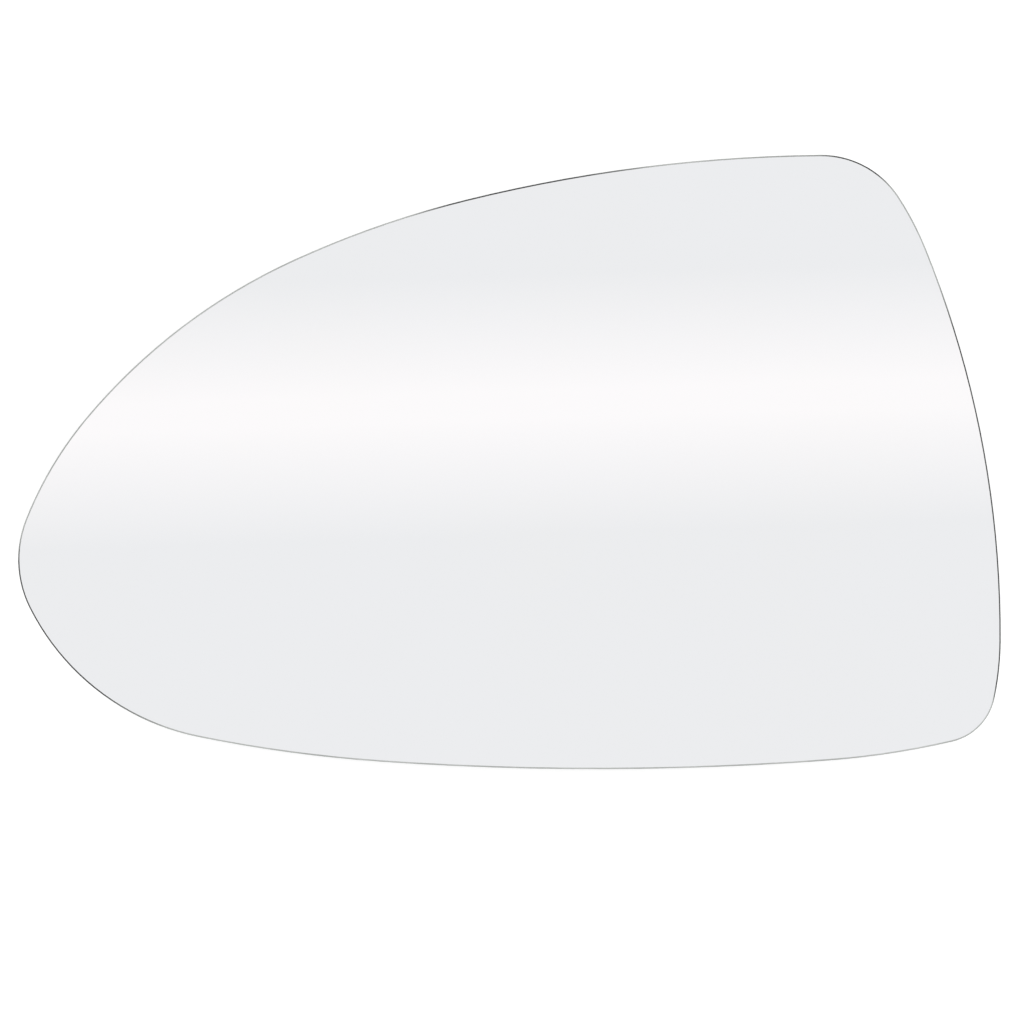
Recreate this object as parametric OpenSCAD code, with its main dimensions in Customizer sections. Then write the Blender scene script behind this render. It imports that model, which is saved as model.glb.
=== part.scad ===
// Glass of a car's door mirror: one sheet of convex glass with a silvered back,
// cut to the outline of its housing and ground to a shallow round edge.
// It lies as it comes to rest, hollow back down, on three points of its rim.
// X runs to the right and Y up as the driver sees the glass, and Z is up off the table.

/* [Glass] */
// Width, from the nose to the wide end
glass_w = 168; // [140:0.5:195]
// Height, from the bottom edge to the top edge
glass_h = 105; // [90:0.5:125]
// Thickness of the sheet
glass_t = 2; // [1.5:0.1:3]
// Radius of the reflecting face, which is part of a sphere
face_r = 1400; // [1000:10:2400]
// Depth of the ground edge, from its outermost line in to where either face begins
edge_depth = 0.25; // [0.1:0.05:0.6]

/* [Sides] */
// Radius of the wide end, at the right
end_r = 176; // [145:1:230]
// Level of the wide end's outermost point, from the middle of the height
end_y = -29.5; // [-38:0.5:-20]
// Radius of the top edge
top_r = 264; // [235:1:350]
// Place of the centre of the top edge's arc, from the middle of the width
top_x = 56; // [38:0.5:66]
// Radius of the nose, at the left
nose_r = 18.5; // [12:0.5:25]
// Level of the nose's outermost point, from the middle of the height
nose_y = -16.7; // [-22:0.1:-11]
// Radius of the bottom edge
bottom_r = 535; // [400:5:700]
// Place of the bottom edge's lowest point, from the middle of the width
bottom_x = 15; // [10:0.5:20]

/* [Upper corner] */
// Radius of the corner between the wide end and the top edge
upper_corner_r = 15.8; // [10:0.2:21]
// Radius of the temple, which eases the wide end into the upper corner
temple_r = 52; // [34:1:70]
// Direction in degrees that the outline faces where the temple passes into the upper corner
temple_to = 33; // [26:0.5:42]

/* [Upper sweep] */
// Radius of the shoulder, which leaves the top edge towards the nose
shoulder_r = 168; // [110:1:215]
// Direction in degrees that the outline faces where the shoulder passes into the brow
shoulder_to = 114.6; // [109:0.2:134]
// Radius of the brow, the long sweep down towards the nose
brow_r = 101; // [66:1:138]
// Direction in degrees that the outline faces where the brow passes into the cheek
brow_to = 140; // [118:0.5:149]
// Radius of the cheek, which eases the brow into the nose
cheek_r = 63.5; // [42:0.5:86]

/* [Lower sweep] */
// Radius of the chin, the round turn under the nose
chin_r = 41.5; // [28:0.5:56]
// Direction in degrees that the outline faces where the chin passes into the keel
chin_to = 258.6; // [249:0.2:262]
// Radius of the keel, which eases the chin into the bottom edge
keel_r = 243; // [160:1:330]

/* [Lower corner] */
// Radius of the heel, which eases the bottom edge into the lower corner
heel_r = 139; // [90:1:190]
// Direction in degrees that the outline faces where the heel passes into the lower corner
heel_to = 283; // [278:0.5:306]
// Radius of the corner between the bottom edge and the wide end
lower_corner_r = 9.6; // [6:0.2:13]
// Direction in degrees that the outline faces where the lower corner passes into the flank
lower_corner_to = 348; // [341:1:354]
// Radius of the flank, which eases the lower corner into the wide end
flank_r = 49; // [32:1:66]

/* [Hidden] */

// How far a straight chord of the edge may lie inside the true arc
chord_error = 0.01;
// Strips across the ground edge, and how far the outer ones reach past the faces, in thicknesses
edge_strips = 6;
edge_overrun = 0.1;
// How far the blank is larger all round, and the cutter taller, than the glass
blank_margin = 4;
// Sides of the two circles that turn the blank: across the sheet's curve, and round its axis
curve_sides = 1600;
blank_sides = 180;
settle_steps = 8;

// Radius of the silvered back, which follows the reflecting face
back_r = face_r - glass_t;
// Radius of the round section that is ground on the edge, and its slope where a face begins
edge_r = (pow(glass_t / 2, 2) + pow(edge_depth, 2)) / (2 * edge_depth);
edge_slope = glass_t / 2 / (edge_r - edge_depth);

function toward(a) = [cos(a), sin(a)];
function unit(v) = v / norm(v);
function direction(v) = atan2(v.y, v.x);

// An arc is its centre and its radius. The outline runs from arc to arc with no corner.
function centre(arc) = arc[0];
function radius(arc) = arc[1];

// Arc of radius r that runs smoothly from one arc into the next
function tangent_arc(from, to, r) =
    let (
        span = centre(to) - centre(from),
        reach_from = radius(from) - r,
        reach_to = radius(to) - r,
        along = (pow(reach_from, 2) - pow(reach_to, 2) + span * span) / (2 * norm(span)),
        aside = sign(reach_from * reach_to) * sqrt(pow(reach_from, 2) - along * along)
    )
    [centre(from) + along * unit(span) + aside * unit([-span.y, span.x]), r];

// Sum of the first n of a list of steps
function travelled(steps, n) = n == 0 ? [0, 0] : travelled(steps, n - 1) + steps[n - 1];

// Arcs that run smoothly from one arc into the next, given by their radii in order and by the
// direction that the outline faces where each passes into the following one. Each centre lies
// a known step from the one before, so the first is found as if the next arc were moved back
// by all the steps.
function tangent_arcs(from, to, radii, turns) =
    let (
        last = len(turns),
        steps = [for (i = [0 : last - 1]) (radii[i] - radii[i + 1]) * toward(turns[i])],
        moved = [centre(to) - travelled(steps, last), radius(to) - radii[last] + radii[0]],
        first = tangent_arc(from, moved, radii[0])
    )
    [for (i = [0 : last]) [centre(first) + travelled(steps, i), radii[i]]];

// Direction that the outline faces where one arc passes into the next
function passing(from, to) = direction(sign(radius(from) - radius(to)) * (centre(to) - centre(from)));

// The four sides are placed by the overall width and height
wide_end = [[glass_w / 2 - end_r, end_y], end_r];
top_edge = [[top_x, glass_h / 2 - top_r], top_r];
nose = [[nose_r - glass_w / 2, nose_y], nose_r];
bottom_edge = [[bottom_x, bottom_r - glass_h / 2], bottom_r];

// The corners and sweeps are placed by the sides that they join
upper_turn = tangent_arcs(wide_end, top_edge, [temple_r, upper_corner_r], [temple_to]);
upper_sweep = tangent_arcs(top_edge, nose, [shoulder_r, brow_r, cheek_r], [shoulder_to, brow_to]);
lower_sweep = tangent_arcs(nose, bottom_edge, [chin_r, keel_r], [chin_to]);
lower_turn = tangent_arcs(
    bottom_edge, wide_end, [heel_r, lower_corner_r, flank_r], [heel_to, lower_corner_to]
);
upper_corner = upper_turn[1];
lower_corner = lower_turn[1];

outline = [
    wide_end, each upper_turn, top_edge, each upper_sweep,
    nose, each lower_sweep, bottom_edge, each lower_turn
];

// Stations round the outline: for each, the arc's centre, its radius and the direction it faces
stations = [
    for (i = [0 : len(outline) - 1])
        let (
            arc = outline[i],
            before = outline[(i + len(outline) - 1) % len(outline)],
            after = outline[(i + 1) % len(outline)],
            a = passing(before, arc),
            turn = (passing(arc, after) - a + 360) % 360,
            steps = ceil(turn / (2 * acos(1 - chord_error / radius(arc))))
        )
        for (k = [0 : steps - 1])
            [centre(arc), radius(arc), a + turn * k / steps]
];

// Point at a station, a given distance inside the outline
function rim_point(station, inset) = station[0] + (station[1] - inset) * toward(station[2]);

// The hollow back rests on the table at the points of three arcs that lie farthest from the
// sheet's own axis, and the axis stands at equal distances from those three points.
resting_arcs = [nose, lower_corner, upper_corner];

function far_point(arc, from) = centre(arc) + (radius(arc) - edge_depth) * unit(centre(arc) - from);

function circumcentre(p, q, r) =
    let (
        b = q - p,
        c = r - p,
        area = 2 * (b.x * c.y - b.y * c.x)
    )
    p + [c.y * (b * b) - b.y * (c * c), b.x * (c * c) - c.x * (b * b)] / area;

function settle(axis, steps) =
    steps == 0 ? axis :
    let (feet = [for (arc = resting_arcs) far_point(arc, axis)])
    settle(circumcentre(feet[0], feet[1], feet[2]), steps - 1);

sheet_axis = settle([0, 0], settle_steps);
foot_distance = norm(far_point(nose, sheet_axis) - sheet_axis);
// The common centre of both faces lies this far below the table
sphere_depth = sqrt(back_r * back_r - foot_distance * foot_distance);

// Height of a face of radius r above the table at a point
function face_height(p, r) = sqrt(r * r - pow(norm(p - sheet_axis), 2)) - sphere_depth;

blank_r = foot_distance + blank_margin;
cutter_top = face_r - sphere_depth + blank_margin;

// Distance inside the outline of the ground edge, at a share of the thickness from the back.
// Past either face it runs straight on.
function edge_inset(share) =
    let (
        h = glass_t * abs(share - 0.5),
        past = max(0, h - glass_t / 2)
    )
    edge_r - sqrt(edge_r * edge_r - pow(h - past, 2)) + past * edge_slope;

// Ring of the ground edge at a share of the thickness, which follows both faces up and down
function edge_ring(share) = [
    for (s = stations)
        let (
            p = rim_point(s, edge_inset(share)),
            low = face_height(p, back_r),
            high = face_height(p, face_r)
        )
        [p.x, p.y, low + share * (high - low)]
];

// The same ring carried straight up or down to a level clear of the glass
function level_ring(share, z) = [
    for (s = stations)
        let (p = rim_point(s, edge_inset(share)))
        [p.x, p.y, z]
];

shares = [for (k = [0 : edge_strips]) (1 + 2 * edge_overrun) * k / edge_strips - edge_overrun];

// Solid through a pile of rings with as many points each, from the lowest up
module ring_stack(rings) {
    n = len(rings[0]);
    last = (len(rings) - 1) * n;
    walls = [
        for (j = [0 : len(rings) - 2], i = [0 : n - 1])
            let (
                a = j * n + i,
                b = j * n + (i + 1) % n
            )
            each [[a, a + n, b], [b, a + n, b + n]]
    ];
    underside = [for (i = [0 : n - 1]) i];
    lid = [for (i = [n - 1 : -1 : 0]) last + i];
    polyhedron([for (ring = rings) each ring], [each walls, underside, lid]);
}

// Everything inside the ground edge, which runs on clear of both faces
module edge_cutter() {
    ring_stack([
        level_ring(-edge_overrun, -blank_margin),
        for (share = shares) edge_ring(share),
        level_ring(1 + edge_overrun, cutter_top)
    ]);
}

// Round blank of bent glass, a slice of a hollow sphere
module bent_blank() {
    translate([sheet_axis.x, sheet_axis.y, 0])
        rotate_extrude($fn = blank_sides)
            intersection() {
                translate([0, -sphere_depth])
                    difference() {
                        circle(r = face_r, $fn = curve_sides);
                        circle(r = back_r, $fn = curve_sides);
                    }
                translate([0, -2 * blank_margin])
                    square([blank_r, cutter_top + 2 * blank_margin]);
            }
}

module mirror_glass() {
    color("#e4e7ea")
        intersection() {
            bent_blank();
            edge_cutter();
        }
}

mirror_glass();
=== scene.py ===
# %% [markdown]
# # The glass of a car's door mirror
# The object is a single sheet of convex glass: silvered and painted on its hollow back, cut to the
# outline of the mirror housing, and ground round its edge. It lies on a white table, and the camera
# looks straight down on it.
#
# The solid comes from CAD and its size and place are fixed. This lesson gives it a mesh that is clean
# enough to work as a mirror, three finishes, and a small white studio. The first cell loads the solid
# and keeps its box, which later sets the grid, the map and the camera.

# %% Load the solid
import math

import bmesh
import bpy
import numpy as np
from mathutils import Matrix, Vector


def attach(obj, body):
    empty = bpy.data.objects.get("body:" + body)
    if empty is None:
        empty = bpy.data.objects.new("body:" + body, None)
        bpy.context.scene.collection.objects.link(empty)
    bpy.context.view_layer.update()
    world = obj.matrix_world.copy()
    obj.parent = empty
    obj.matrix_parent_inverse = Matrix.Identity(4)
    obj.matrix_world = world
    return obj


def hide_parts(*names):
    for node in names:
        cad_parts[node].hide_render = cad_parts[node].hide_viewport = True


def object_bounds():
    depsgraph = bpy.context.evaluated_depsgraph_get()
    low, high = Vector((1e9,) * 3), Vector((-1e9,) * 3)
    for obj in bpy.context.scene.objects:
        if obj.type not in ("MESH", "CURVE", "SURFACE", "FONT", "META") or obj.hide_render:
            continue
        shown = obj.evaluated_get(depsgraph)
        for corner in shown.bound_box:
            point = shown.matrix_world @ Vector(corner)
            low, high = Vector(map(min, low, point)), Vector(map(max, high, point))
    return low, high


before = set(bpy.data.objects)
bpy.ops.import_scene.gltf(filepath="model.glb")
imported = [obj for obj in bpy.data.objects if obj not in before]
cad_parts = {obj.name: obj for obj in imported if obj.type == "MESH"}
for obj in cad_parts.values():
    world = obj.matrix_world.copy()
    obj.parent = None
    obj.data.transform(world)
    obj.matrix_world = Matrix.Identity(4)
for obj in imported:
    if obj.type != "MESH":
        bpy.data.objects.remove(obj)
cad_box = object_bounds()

NODE = "mirror_glass"
PIECE = "mirror_pane"
MM = 0.001
WELD = 0.001 * MM

cad_low, cad_high = cad_box
cad_size = cad_high - cad_low
print("solid measures", [round(side / MM, 2) for side in cad_size], "mm")

# %% [markdown]
# ## Measure the sheet
# The real sheet is bent in a mould, and its two faces are parts of two spheres with one centre.
# Their radii could be typed in again here, but then they could drift away from the solid. Instead
# they are measured on it: a copy of the solid's mesh is welded, the faces that look up are taken as
# the reflecting face, and a sphere is fitted to their corners. A sphere through points p has
# p.p = 2 c.p + k, which is linear in its centre c and in k, so one least-squares call finds it.

# %% Fit a sphere to each face of the sheet
# A face of the mesh looks up or down if its normal's height is more than this
FACE_TILT = 0.9

solid = bmesh.new()
solid.from_mesh(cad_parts[NODE].data)
bmesh.ops.remove_doubles(solid, verts=solid.verts, dist=WELD)
solid_volume = solid.calc_volume()


def corners_facing(side):
    """Corners of the faces that look up (side 1) or down (side -1)."""
    return [v for v in solid.verts if any(f.normal.z * side > FACE_TILT for f in v.link_faces)]


front_corners = corners_facing(1)
back_corners = corners_facing(-1)
points = np.array([v.co for v in front_corners], float)
terms = np.column_stack([2 * points, np.ones(len(points))])
fit = np.linalg.lstsq(terms, (points ** 2).sum(axis=1), rcond=None)[0]
sphere_centre = Vector(fit[:3])
front_r = math.sqrt(fit[3] + sphere_centre.length_squared)
back_r = sum((v.co - sphere_centre).length for v in back_corners) / len(back_corners)
sheet_t = front_r - back_r
print("face radius", round(front_r / MM, 1), "mm, back radius", round(back_r / MM, 1), "mm")
print("sheet thickness", round(sheet_t / MM, 3), "mm")

# %% [markdown]
# ## Take the outline
# The outline is the line where the glass reaches farthest out, half-way up its ground edge. On the
# solid it is a closed ring of edges, so it needs no new points: everything else is deleted, and the
# ring that is left is pressed flat. On the flat ring the edge can be ground to one even width, which
# is why the bend is left for later.

# %% Keep the outermost ring and lay it flat
# How far from half-way a corner of the outline may lie, as a share of the thickness
MIDDLE_SLACK = 0.02


def on_mid_sphere(v):
    """Whether a corner lies half-way between the two faces."""
    return abs((v.co - sphere_centre).length - (front_r + back_r) / 2) < MIDDLE_SLACK * sheet_t


outermost = [v for v in solid.verts if on_mid_sphere(v)]
edge_depth = max(v.co.x for v in outermost) - max(v.co.x for v in front_corners)
rest = [v for v in solid.verts if not on_mid_sphere(v)]
bmesh.ops.delete(solid, geom=rest, context="VERTS")
glass = solid
bmesh.ops.scale(glass, vec=(1, 1, 0), verts=glass.verts)
plate = bmesh.ops.edgeloop_fill(glass, edges=glass.edges)["faces"][0]
if plate.normal.z < 0:
    plate.normal_flip()
print("outline of", len(plate.verts), "points, ground edge", round(edge_depth / MM, 3), "mm deep")

# %% [markdown]
# ## Grind the edge
# A glazier grinds the cut edge with a grooved wheel, so its section is a shallow arc from one face to
# the other. The upper half is made here by insets: each goes in by a run and up by a rise along the
# arc. A bevel could round a square edge too, but insets follow an arc of any depth exactly. The sharp
# line where the edge meets the face, the arris, is taken off with a fine stone, and a tiny bevel does
# that and catches the light as the real one does.

# %% Inset along the arc of the wheel, then break the arris
EDGE_STEPS = 6
ARRIS = 0.03 * MM
ARRIS_SEGMENTS = 2

wheel_r = ((sheet_t / 2) ** 2 + edge_depth ** 2) / (2 * edge_depth)
wheel_turn = math.asin(sheet_t / 2 / wheel_r)
for step in range(EDGE_STEPS):
    a = wheel_turn * step / EDGE_STEPS
    b = wheel_turn * (step + 1) / EDGE_STEPS
    run = wheel_r * (math.cos(a) - math.cos(b))
    rise = wheel_r * (math.sin(b) - math.sin(a))
    bmesh.ops.inset_region(
        glass, faces=[plate], thickness=run, depth=rise, use_even_offset=True, use_boundary=True
    )
bmesh.ops.bevel(
    glass, geom=list(plate.edges), offset=ARRIS, offset_type="OFFSET", segments=ARRIS_SEGMENTS,
    profile=0.5, affect="EDGES", material=-1, clamp_overlap=True,
)
print("wheel radius", round(wheel_r / MM, 3), "mm, edge turns", round(math.degrees(wheel_turn), 1), "deg")

# %% [markdown]
# ## Score the face and mirror the half
# A flat polygon can't bend, so it needs edges inside it. Rings or a fan of triangles would crowd at
# the middle, where a mirror shows it most. A square grid stays even, and bisect_plane cuts it through
# the whole half, edge included, so that no corner is left hanging on a neighbour's side. The half is
# then mirrored downwards and welded at the outline, which closes the sheet.

# %% Cut the grid and close the sheet
GRID = 5 * MM


def score(axis):
    """Cuts the glass by planes across one axis, a grid step apart."""
    normal = Vector((0, 0, 0))
    normal[axis] = 1
    first = math.ceil(cad_low[axis] / GRID)
    last = math.floor(cad_high[axis] / GRID)
    for k in range(first, last + 1):
        whole = list(glass.verts) + list(glass.edges) + list(glass.faces)
        bmesh.ops.bisect_plane(glass, geom=whole, dist=WELD, plane_co=normal * k * GRID, plane_no=normal)


score(0)
score(1)
whole = list(glass.verts) + list(glass.edges) + list(glass.faces)
bmesh.ops.mirror(glass, geom=whole, axis="Z", merge_dist=WELD)
bmesh.ops.recalc_face_normals(glass, faces=glass.faces)
print("flat sheet of", len(glass.faces), "faces, open edges:", sum(e.is_boundary for e in glass.edges))

# %% [markdown]
# ## Name the surfaces
# While the sheet is flat, a corner's height alone says where it is: at the top it belongs to the
# reflecting face, at the bottom to the painted back, and between them to the ground edge. The height
# is kept as an attribute, so that the grinding lines can follow the edge after the bend.
#
# The ground edge is frosted glass, which looks pale. Where the edge faces some directions, its upper
# part is painted near-black, as painted shade for the dark that it reflects, so the line round the
# glass comes and goes. A second attribute keeps how much painted shade the edge gets, which follows
# from the direction that it faces.

# %% Mark the three surfaces and the stretches of painted shade on the edge
FRONT, EDGE, BACK = range(3)
# The directions in degrees that the edge faces where each stretch of painted shade begins to darken,
# is dark, begins to fade and is gone
PAINTED_SHADE_STRETCHES = ((-16, -8, 16, 21), (38, 54, 77, 97), (96, 100, 104, 108), (166, 187, 228, 256))


def painted_shade_share(facing):
    """How much painted shade the edge gets, from 0 to 1, where it faces a direction in degrees."""
    share = 0
    for darkening, dark, frosting, frosted in PAINTED_SHADE_STRETCHES:
        facing = darkening + (facing - darkening) % 360
        rising = (facing - darkening) / (dark - darkening)
        falling = (frosted - facing) / (frosted - frosting)
        share = max(share, min(1, rising, falling))
    return share


glass.normal_update()
kept_height = glass.verts.layers.float.new("sheet_height")
kept_painted_shade = glass.verts.layers.float.new("edge_painted_shade")
for v in glass.verts:
    v[kept_height] = v.co.z
    # How much painted shade the edge gets, by the direction that it faces
    v[kept_painted_shade] = painted_shade_share(math.degrees(math.atan2(v.normal.y, v.normal.x)))
for f in glass.faces:
    f.smooth = True
    if min(v.co.z for v in f.verts) > sheet_t / 2 - WELD:
        f.material_index = FRONT
    elif max(v.co.z for v in f.verts) < WELD - sheet_t / 2:
        f.material_index = BACK
    else:
        f.material_index = EDGE
for name, index in (("front", FRONT), ("edge", EDGE), ("back", BACK)):
    print(name, "has", sum(f.material_index == index for f in glass.faces), "faces")

# %% [markdown]
# ## Lay the sheet out on a map
# A viewer that can't run Blender's nodes shows a model by pictures laid over its surface, and an
# export bakes them from the finishes. Blender can lay out the map for that by itself, but that leaves
# the thin ground edge only a few pixels. So the sheet is laid out while it is flat: the two
# faces stand side by side, and above them the edge is unrolled in rows. The rows are stretched
# upwards, so that the fine grinding lines stay apart. The finishes in Blender don't read this map.

# %% Unroll the faces and the edge
# The export bakes through a map of this name
BAKE_MAP = "OFBake"
# Empty space round the parts of the map, and at both ends of a row, as shares of the map's width
MAP_GAP = 0.01
ROW_END = 0.03
ROWS = 3

face_wide = (1 - 3 * MAP_GAP) / 2
face_tall = face_wide * cad_size.x / cad_size.y
row_tall = (1 - face_tall - (ROWS + 2) * MAP_GAP) / ROWS


def turn_of(co):
    """Where a point lies round the middle of the sheet, as a share of a full turn."""
    return (math.atan2(co.y, co.x) / math.tau + 0.5) % 1


def place_on_face(co, column):
    """Place on the map of a point of the front (column 0) or of the back (column 1), seen from outside."""
    across = (co.y - cad_low.y) / cad_size.y
    if column == 0:
        across = 1 - across
    left = MAP_GAP + column * (face_wide + MAP_GAP)
    up = (co.x - cad_low.x) / cad_size.x
    return left + across * face_wide, MAP_GAP + up * face_tall


def place_on_edge(co, face_turn):
    """Place on the map of a point of the ground edge, on a face whose middle lies at face_turn."""
    row = int(face_turn * ROWS)
    turn = face_turn + (turn_of(co) - face_turn + 0.5) % 1 - 0.5
    along = ROW_END + (turn * ROWS - row) * (1 - 2 * ROW_END)
    row_foot = face_tall + 2 * MAP_GAP + row * (row_tall + MAP_GAP)
    return along, row_foot + (co.z / sheet_t + 0.5) * row_tall


bake_map = glass.loops.layers.uv.new(BAKE_MAP)
for f in glass.faces:
    face_turn = turn_of(f.calc_center_median())
    for corner in f.loops:
        if f.material_index == EDGE:
            corner[bake_map].uv = place_on_edge(corner.vert.co, face_turn)
        else:
            corner[bake_map].uv = place_on_face(corner.vert.co, int(f.material_index == BACK))
print("each face fills", round(face_wide, 3), "by", round(face_tall, 3), "of the map")
print("each row of the edge is", round(row_tall, 3), "of the map high")

# %% [markdown]
# ## Bend the sheet
# A glassworks softens the sheet and lets it sink into a mould. Here each corner is lifted to the same
# share of the way between the two spheres as it had between the two flat faces. A lattice or a curve
# modifier could bend the sheet too, but only to nearly the right form, and a mirror shows that.

# %% Lift each corner on to its sphere
def sphere_height(co, radius):
    """Height at which a sphere round the common centre passes over or under a point."""
    aside = (co.xy - sphere_centre.xy).length_squared
    return sphere_centre.z + math.sqrt(radius * radius - aside)


for v in glass.verts:
    low = sphere_height(v.co, back_r)
    high = sphere_height(v.co, front_r)
    v.co.z = low + (v[kept_height] / sheet_t + 0.5) * (high - low)
print("bent sheet", round(glass.calc_volume() / MM ** 3, 1), "mm3, solid", round(solid_volume / MM ** 3, 1))

# %% [markdown]
# ## Make the piece and set its normals
# A mirror shows every fault in its normals, because a reflection turns twice as far as the surface
# does. Blender works them out from the small flat faces, which is good enough for paint but leaves
# faint ripples in a mirror. The true normal of a sphere points away from its centre, so it is given
# to each corner that lies on either face. A zero vector leaves a corner with Blender's own normal,
# which suits the ground edge.

# %% Build the object in place of the plain solid
mesh = bpy.data.meshes.new(PIECE)
glass.to_mesh(mesh)
normals = []
for v in glass.verts:
    outward = (v.co - sphere_centre).normalized()
    if v[kept_height] > sheet_t / 2 - WELD:
        normals.append(outward)
    elif v[kept_height] < WELD - sheet_t / 2:
        normals.append(-outward)
    else:
        normals.append(Vector((0, 0, 0)))
mesh.normals_split_custom_set_from_vertices(normals)
glass.free()

pane = bpy.data.objects.new(PIECE, mesh)
bpy.context.scene.collection.objects.link(pane)
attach(pane, "root")
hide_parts(NODE)
print(PIECE, "has", sum(len(p.vertices) - 2 for p in mesh.polygons), "triangles")

# %% [markdown]
# ## A shared texture
# Wiped glass, ground glass and sprayed paint all vary a little from place to place, and all three
# variations are a soft noise, only stretched and sized differently. So the noise is built once as a
# node group that puts out a mask from 0 to 1, and each finish calls it with its own scale and
# contrast. The shaders stay outside the group, in the materials.

# %% Build the mottle group and a helper that wires nodes
def add_node(tree, kind, inputs=(), **settings):
    """Adds a node. Each input is a pair of a socket's name or number and a value or another socket."""
    node = tree.nodes.new(kind)
    for name, value in settings.items():
        setattr(node, name, value)
    for socket, value in inputs:
        if isinstance(value, bpy.types.NodeSocket):
            tree.links.new(value, node.inputs[socket])
        else:
            node.inputs[socket].default_value = value
    return node


def build_mottle():
    """The node group: a soft noise, spread to a mask from 0 at Low to 1 at High."""
    tree = bpy.data.node_groups.new("Mottle", "ShaderNodeTree")
    vector = tree.interface.new_socket("Vector", in_out="INPUT", socket_type="NodeSocketVector")
    vector.hide_value = True
    for name, value in (("Scale", 100.0), ("Detail", 3.0), ("Low", 0.4), ("High", 0.6)):
        socket = tree.interface.new_socket(name, in_out="INPUT", socket_type="NodeSocketFloat")
        socket.default_value = value
    tree.interface.new_socket("Mask", in_out="OUTPUT", socket_type="NodeSocketFloat")
    given = tree.nodes.new("NodeGroupInput").outputs
    noise = add_node(tree, "ShaderNodeTexNoise", (
        ("Vector", given["Vector"]), ("Scale", given["Scale"]), ("Detail", given["Detail"]),
    ))
    spread = add_node(tree, "ShaderNodeMapRange", (
        ("Value", noise.outputs["Fac"]), ("From Min", given["Low"]), ("From Max", given["High"]),
    ), clamp=True)
    add_node(tree, "NodeGroupOutput", (("Mask", spread.outputs["Result"]),))
    return tree


mottle_group = build_mottle()


def add_mottle(tree, vector, scale, detail, low, high):
    """Calls the mottle group and gives its mask."""
    node = add_node(tree, "ShaderNodeGroup", node_tree=mottle_group)
    tree.links.new(vector, node.inputs["Vector"])
    for name, value in (("Scale", scale), ("Detail", detail), ("Low", low), ("High", high)):
        node.inputs[name].default_value = value
    return node.outputs["Mask"]


def add_range(tree, mask, low, high):
    """Turns a mask from 0 to 1 into a number from low to high."""
    node = add_node(tree, "ShaderNodeMapRange", (("Value", mask), ("To Min", low), ("To Max", high)))
    return node.outputs["Result"]


def add_blend(tree, mask, colour_0, colour_1):
    """Mixes two colours by a mask."""
    node = add_node(tree, "ShaderNodeMix", data_type="RGBA")
    tree.links.new(mask, node.inputs["Factor"])
    node.inputs["A"].default_value = (*colour_0, 1)
    node.inputs["B"].default_value = (*colour_1, 1)
    return node.outputs["Result"]


def start_material(name, colour):
    """A material, its tree and its Principled BSDF. The plain colour is what a solid view shows."""
    material = bpy.data.materials.new(name)
    material.use_nodes = True
    material.diffuse_color = (*colour, 1)
    shader = material.node_tree.nodes["Principled BSDF"]
    mesh.materials.append(material)
    return material.node_tree, shader


print("group", mottle_group.name, "has", len(mottle_group.nodes), "nodes")

# %% [markdown]
# ## The reflecting face
# Light passes the glass, meets the silver behind it and comes back a little dimmer and bluer, so the
# face returns about five sixths of the white around it. The glass could be modelled as a clear body
# over a silver sheet, but the glare inside it is too weak to see here and a clear body would export
# as a window. So the face is a metal in the silver's colour under a clear coat of glass. Handling
# leaves a haze on such a face that only just shows, and the mottle puts it into the roughness and the
# colour.

# %% Silver under glass
SILVER = (0.832, 0.840, 0.857)
SILVER_HAZY = (0.828, 0.837, 0.855)
FACE_ROUGH_WIPED = 0.004
FACE_ROUGH_HAZY = 0.02
COAT_ROUGH = 0.01
GLASS_IOR = 1.52

tree, shader = start_material("silvered face", SILVER)
place = add_node(tree, "ShaderNodeTexCoord").outputs["Object"]
haze = add_mottle(tree, place, scale=28, detail=4, low=0.42, high=0.72)
tree.links.new(add_blend(tree, haze, SILVER, SILVER_HAZY), shader.inputs["Base Color"])
tree.links.new(add_range(tree, haze, FACE_ROUGH_WIPED, FACE_ROUGH_HAZY), shader.inputs["Roughness"])
shader.inputs["Metallic"].default_value = 1
shader.inputs["Coat Weight"].default_value = 1
shader.inputs["Coat Roughness"].default_value = COAT_ROUGH
shader.inputs["Coat IOR"].default_value = GLASS_IOR
print("silver returns", SILVER, "of the light")

# %% [markdown]
# ## The ground edge
# Frosted glass is grey and dull, and the wheel leaves fine lines that run along it. Lines along an
# edge could come from a map that is unrolled round the outline, but a map has a seam. Here the kept
# sheet height stands in for the place's height: a noise that is squeezed in height and stretched in
# plan turns into lines that follow the edge. Where the edge faces some directions, its upper part is
# painted near-black and made smoother, as painted shade, and a cloud of noise breaks these stretches
# up at their ends.

# %% Frosted glass with lines, and painted shade on its upper shoulder
FROSTED = (0.30, 0.314, 0.303)
FROSTED_PALE = (0.59, 0.605, 0.59)
# Painted shade: near-black colours for the edge's upper shoulder where it faces some directions, mottled by
# the cloud
PAINTED_SHADE = (0.008, 0.009, 0.008)
PAINTED_SHADE_MOTTLED = (0.03, 0.033, 0.03)
# Shares of the painted shade at which the dark colour begins and is whole, and how far the cloud moves them
SHADE_FROM = 0.1
SHADE_FULL = 0.8
SHADE_STRAY = 0.2
# Heights above the middle of the edge at which the painted shade begins and is whole, and how far the lines
# move them
SHOULDER_FROM = 0.1 * MM
SHOULDER_FULL = 0.35 * MM
SHOULDER_STRAY = 0.15 * MM
# Grinding lines to the metre, along the edge and across it
LINES_ALONG = 150
LINES_ACROSS = 12000
LINE_DEPTH = 0.004 * MM
CLOUD_SHARE = 0.5
# Roughness of the frosted edge, and of the edge under the painted shade
EDGE_ROUGH_FROSTED = 0.6
EDGE_ROUGH_SHADED = 0.45
EDGE_GLOSS = 0.12

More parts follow.
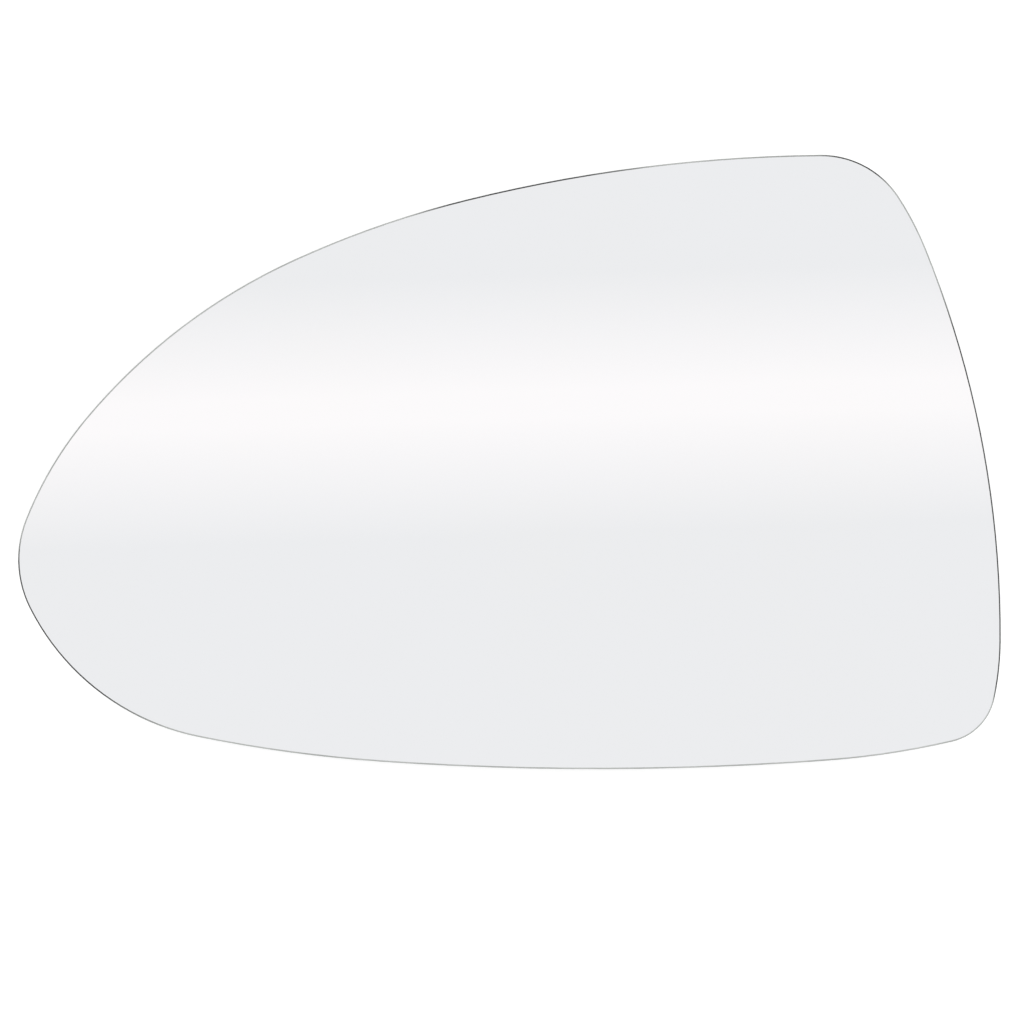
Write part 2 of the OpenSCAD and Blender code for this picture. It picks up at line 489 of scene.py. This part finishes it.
tree, shader = start_material("ground edge", FROSTED)
place = add_node(tree, "ShaderNodeTexCoord").outputs["Object"]
height = add_node(tree, "ShaderNodeAttribute", attribute_name="sheet_height").outputs["Fac"]
parts = add_node(tree, "ShaderNodeSeparateXYZ", (("Vector", place),)).outputs
unrolled = add_node(tree, "ShaderNodeCombineXYZ", (("X", parts["X"]), ("Y", parts["Y"]), ("Z", height)))
stretched = add_node(tree, "ShaderNodeVectorMath", (
    (0, unrolled.outputs["Vector"]), (1, (LINES_ALONG, LINES_ALONG, LINES_ACROSS)),
), operation="MULTIPLY")
lines = add_mottle(tree, stretched.outputs["Vector"], scale=1, detail=3, low=0.35, high=0.65)
cloud = add_mottle(tree, place, scale=160, detail=5, low=0.3, high=0.7)
streaks = add_node(tree, "ShaderNodeMix", (
    ("Factor", CLOUD_SHARE), ("A", lines), ("B", cloud),
), data_type="FLOAT").outputs["Result"]
dark = add_node(tree, "ShaderNodeAttribute", attribute_name="edge_painted_shade").outputs["Fac"]
broken = add_node(tree, "ShaderNodeMath", (
    (0, dark), (1, add_range(tree, cloud, -SHADE_STRAY, SHADE_STRAY)),
), operation="ADD")
reached = add_node(tree, "ShaderNodeMapRange", (
    ("Value", broken.outputs["Value"]), ("From Min", SHADE_FROM), ("From Max", SHADE_FULL),
), clamp=True)
strayed = add_node(tree, "ShaderNodeMath", (
    (0, height), (1, add_range(tree, lines, -SHOULDER_STRAY, SHOULDER_STRAY)),
), operation="ADD")
shoulder = add_node(tree, "ShaderNodeMapRange", (
    ("Value", strayed.outputs["Value"]), ("From Min", SHOULDER_FROM), ("From Max", SHOULDER_FULL),
), clamp=True)
# Mask of the painted shade: its stretches by direction, on the upper shoulder of the edge only
painted_shade_mask = add_node(tree, "ShaderNodeMath", (
    (0, reached.outputs["Result"]), (1, shoulder.outputs["Result"]),
), operation="MULTIPLY").outputs["Value"]
# The edge's colour: frosted glass, turned to painted shade by the mask
edge_colour = add_node(tree, "ShaderNodeMix", (
    ("A", add_blend(tree, streaks, FROSTED, FROSTED_PALE)),
    ("B", add_blend(tree, cloud, PAINTED_SHADE, PAINTED_SHADE_MOTTLED)),
    ("Factor", painted_shade_mask),
), data_type="RGBA")
tree.links.new(edge_colour.outputs["Result"], shader.inputs["Base Color"])
roughness = add_range(tree, painted_shade_mask, EDGE_ROUGH_FROSTED, EDGE_ROUGH_SHADED)
tree.links.new(roughness, shader.inputs["Roughness"])
bump = add_node(tree, "ShaderNodeBump", (("Height", lines), ("Distance", LINE_DEPTH)))
tree.links.new(bump.outputs["Normal"], shader.inputs["Normal"])
shader.inputs["Specular IOR Level"].default_value = EDGE_GLOSS
print("lines about", round(1 / LINES_ACROSS / MM, 3), "mm apart")

# %% [markdown]
# ## The painted back
# A coat of grey paint keeps the silver from tarnishing. It is sprayed, so it has a fine orange-peel
# surface and pales a little where the coat is thin. Both come from the mottle: a small one for the
# peel's height and a large one for the colour.

# %% Sprayed paint
PAINT = (0.105, 0.11, 0.115)
PAINT_THIN = (0.135, 0.14, 0.145)
PAINT_ROUGH = 0.46
PAINT_ROUGH_THIN = 0.58
PEEL_HEIGHT = 0.012 * MM

tree, shader = start_material("painted back", PAINT)
place = add_node(tree, "ShaderNodeTexCoord").outputs["Object"]
thin = add_mottle(tree, place, scale=35, detail=5, low=0.38, high=0.66)
peel = add_mottle(tree, place, scale=900, detail=2, low=0.3, high=0.7)
tree.links.new(add_blend(tree, thin, PAINT, PAINT_THIN), shader.inputs["Base Color"])
tree.links.new(add_range(tree, thin, PAINT_ROUGH, PAINT_ROUGH_THIN), shader.inputs["Roughness"])
bump = add_node(tree, "ShaderNodeBump", (("Height", peel), ("Distance", PEEL_HEIGHT)))
tree.links.new(bump.outputs["Normal"], shader.inputs["Normal"])
print("piece has the finishes", [m.name for m in mesh.materials])

# %% [markdown]
# ## The table
# The table is a large white plane. What the camera sees of it has to be plain white, like the
# backdrop of a product picture, yet it still has to carry the shadow under the glass. Brighter lamps
# would whiten it too, but they would bleach the object. So the table glows, but only where it is seen:
# from the camera, in a reflection or through glass. The light that it sends up at the object stays as
# it is.

# %% Lay the table
TABLE_HALF = 4.0
# The table's own white, its white where it is seen, and how much it glows there
TABLE_WHITE = 0.8
TABLE_SEEN = 0.6
TABLE_GLOW = 0.65


def add_seen_mask(tree):
    """1 for rays that show the surroundings: from the camera, in a reflection or through glass."""
    path = add_node(tree, "ShaderNodeLightPath").outputs
    reflected = add_node(tree, "ShaderNodeMath", (
        (0, path["Is Glossy Ray"]), (1, path["Is Transmission Ray"]),
    ), operation="MAXIMUM")
    seen = add_node(tree, "ShaderNodeMath", (
        (0, path["Is Camera Ray"]), (1, reflected.outputs["Value"]),
    ), operation="MAXIMUM")
    return seen.outputs["Value"]


table_bm = bmesh.new()
bmesh.ops.create_grid(table_bm, x_segments=1, y_segments=1, size=TABLE_HALF)
table_mesh = bpy.data.meshes.new("table")
table_bm.to_mesh(table_mesh)
table_bm.free()
table = bpy.data.objects.new("table", table_mesh)
bpy.context.scene.collection.objects.link(table)

table_material = bpy.data.materials.new("white table")
table_material.use_nodes = True
table_mesh.materials.append(table_material)
tree = table_material.node_tree
shader = tree.nodes["Principled BSDF"]
seen = add_seen_mask(tree)
white = add_blend(tree, seen, (TABLE_WHITE,) * 3, (TABLE_SEEN,) * 3)
tree.links.new(white, shader.inputs["Base Color"])
tree.links.new(add_range(tree, seen, 0, TABLE_GLOW), shader.inputs["Emission Strength"])
shader.inputs["Emission Color"].default_value = (1, 1, 1, 1)
shader.inputs["Roughness"].default_value = 1
shader.inputs["Specular IOR Level"].default_value = 0
print("table", 2 * TABLE_HALF, "m wide, glow", TABLE_GLOW)

# %% [markdown]
# ## The room and its long soft lights
# A mirror shows the room. Here that is an even white with a row of long, soft lights overhead. They
# run from left to right and are spaced like the ribs of a fan, so that one of them crosses the glass
# as a pale band from above, and fainter ones do from the sides. They could be area lamps, but a
# lamp's panel has hard sides, and these lights fade evenly to both. So they are painted on the sky.
# The angle round the fan's axis says how far a direction lies from the nearest light, and a ping-pong
# node folds that angle at every rib. Only reflections see the lights, so they don't bleach the table.

# %% Paint the room
# Strength of the room's light on dull surfaces, where the room as it is seen has 1
AMBIENT = 0.56
# Degrees from light to light, and the directions where they begin to fade and are gone
FAN_STEP = 14
FAN_BRIGHT = 15
FAN_DARK = 70
# Directions along the lights where their ends begin to fade and are gone, as a sine
FAN_END_DIM = 0.80
FAN_END_DARK = 0.97
# Slopes of the lights from the left-right line, and of the middle one from straight overhead
STRIP_TURN = 0.0327
STRIP_LEAN = 0.0423
# Angles from a light's middle line where it begins to fade and is gone, in radians
STRIP_CORE = 0.005
STRIP_HALF = 0.0465
# How much brighter than the white room a light is, in red, green and blue
STRIP_COLOUR = (1.16, 1.13, 1.118)

world = bpy.data.worlds.new("white studio")
bpy.context.scene.world = world
world.use_nodes = True
tree = world.node_tree
direction = add_node(tree, "ShaderNodeTexCoord").outputs["Generated"]
across = Vector((-STRIP_TURN, 1, -STRIP_LEAN)).normalized()
along = across.cross(Vector((0, 0, 1))).normalized()
overhead = along.cross(across)


def add_dot(vector):
    """How far a direction points along a vector, from -1 to 1."""
    node = add_node(tree, "ShaderNodeVectorMath", ((0, direction), (1, vector)), operation="DOT_PRODUCT")
    return node.outputs["Value"]


def add_math(operation, *values):
    """What a Math node makes of numbers or of other nodes' values."""
    node = add_node(tree, "ShaderNodeMath", list(enumerate(values)), operation=operation)
    return node.outputs["Value"]


def add_fade(value, full, gone):
    """1 up to full, then evenly down to 0 at gone."""
    node = add_node(tree, "ShaderNodeMapRange", (
        ("Value", value), ("From Min", full), ("From Max", gone), ("To Min", 1.0), ("To Max", 0.0),
    ), clamp=True)
    return node.outputs["Result"]


angle = add_math("ARCTAN2", add_dot(across), add_dot(overhead))
from_strip = add_math("PINGPONG", angle, math.radians(FAN_STEP / 2))
strips = add_fade(from_strip, STRIP_CORE, STRIP_HALF)
fan_side = add_fade(add_math("ABSOLUTE", angle), math.radians(FAN_BRIGHT), math.radians(FAN_DARK))
fan_end = add_fade(add_math("ABSOLUTE", add_dot(along)), FAN_END_DIM, FAN_END_DARK)
glossy = add_node(tree, "ShaderNodeLightPath").outputs["Is Glossy Ray"]
lit = add_math("MULTIPLY", add_math("MULTIPLY", strips, fan_side), add_math("MULTIPLY", fan_end, glossy))
sky = add_blend(tree, lit, (1, 1, 1), STRIP_COLOUR)
background = tree.nodes["Background"]
tree.links.new(sky, background.inputs["Color"])
tree.links.new(add_range(tree, add_seen_mask(tree), AMBIENT, 1), background.inputs["Strength"])
print("strip lights", round(math.degrees(2 * STRIP_HALF), 1), "deg wide, every", FAN_STEP, "deg")

# %% [markdown]
# ## The lamps
# Three large soft lamps stand low round the table: beyond the sloping upper edge, before the lower
# edge and beside the wide end. They model the ground edge and lay a soft shadow under it. They are
# kept out of reflections, because the glass already has its lights overhead, and from a low angle a
# bare lamp would burn it out.

# %% Stand the lamps
LAMP_AWAY = 1.6
LAMP_SIZE = 0.7


def add_lamp(name, azimuth, elevation, power):
    """A square soft lamp that looks at the object, placed by its azimuth and elevation in degrees."""
    light = bpy.data.lights.new(name, "AREA")
    light.shape = "SQUARE"
    light.size = LAMP_SIZE
    light.energy = power
    lamp = bpy.data.objects.new(name, light)
    a = math.radians(azimuth)
    e = math.radians(elevation)
    lamp.location = LAMP_AWAY * Vector((math.cos(a) * math.cos(e), math.sin(a) * math.cos(e), math.sin(e)))
    lamp.rotation_euler = lamp.location.to_track_quat("Z", "Y").to_euler()
    lamp.visible_camera = False
    lamp.visible_glossy = False
    bpy.context.scene.collection.objects.link(lamp)
    print(name, "at", [round(c, 2) for c in lamp.location], "m,", power, "W")


add_lamp("upper left lamp", azimuth=138, elevation=32, power=8)
add_lamp("lower lamp", azimuth=280, elevation=32, power=9)
add_lamp("right lamp", azimuth=30, elevation=32, power=7)

# %% [markdown]
# ## The camera
# The picture was taken square on, with the outline near its middle. A long lens from well above keeps
# the view flat. The camera's place and lens follow from where the outline's sides lie in the picture
# and from the width of the solid. Pixels are counted from the middle of the first one, so the middle
# of the picture lies half a pixel before the count's half.

# %% Aim the camera
PICTURE = 1024
# Where the outline's sides lie in the picture, in pixels
OUTLINE_LEFT = 17.17
OUTLINE_RIGHT = 1000.66
OUTLINE_TOP = 153.98
OUTLINE_BOTTOM = 768.72
CAMERA_UP = 1.5
CLIP_NEAR = 0.01
CLIP_FAR = 50
# Width of the camera's sensor in millimetres, the unit in which Blender takes it and the lens
SENSOR = 36

pixel = cad_size.x / (OUTLINE_RIGHT - OUTLINE_LEFT)
middle = (cad_low + cad_high) / 2
camera_data = bpy.data.cameras.new("camera")
camera_data.sensor_width = SENSOR
camera_data.lens = SENSOR * (CAMERA_UP - middle.z) / (PICTURE * pixel)
camera_data.clip_start = CLIP_NEAR
camera_data.clip_end = CLIP_FAR
camera = bpy.data.objects.new("camera", camera_data)
picture_middle = (PICTURE - 1) / 2
aside_px = picture_middle - (OUTLINE_LEFT + OUTLINE_RIGHT) / 2
down_px = picture_middle - (OUTLINE_TOP + OUTLINE_BOTTOM) / 2
camera.location = (middle.x + aside_px * pixel, middle.y - down_px * pixel, CAMERA_UP)
bpy.context.scene.collection.objects.link(camera)
bpy.context.scene.camera = camera
bpy.context.scene.view_settings.view_transform = "Standard"
print("pixel", round(pixel / MM, 4), "mm, lens", round(camera_data.lens, 1), "mm")
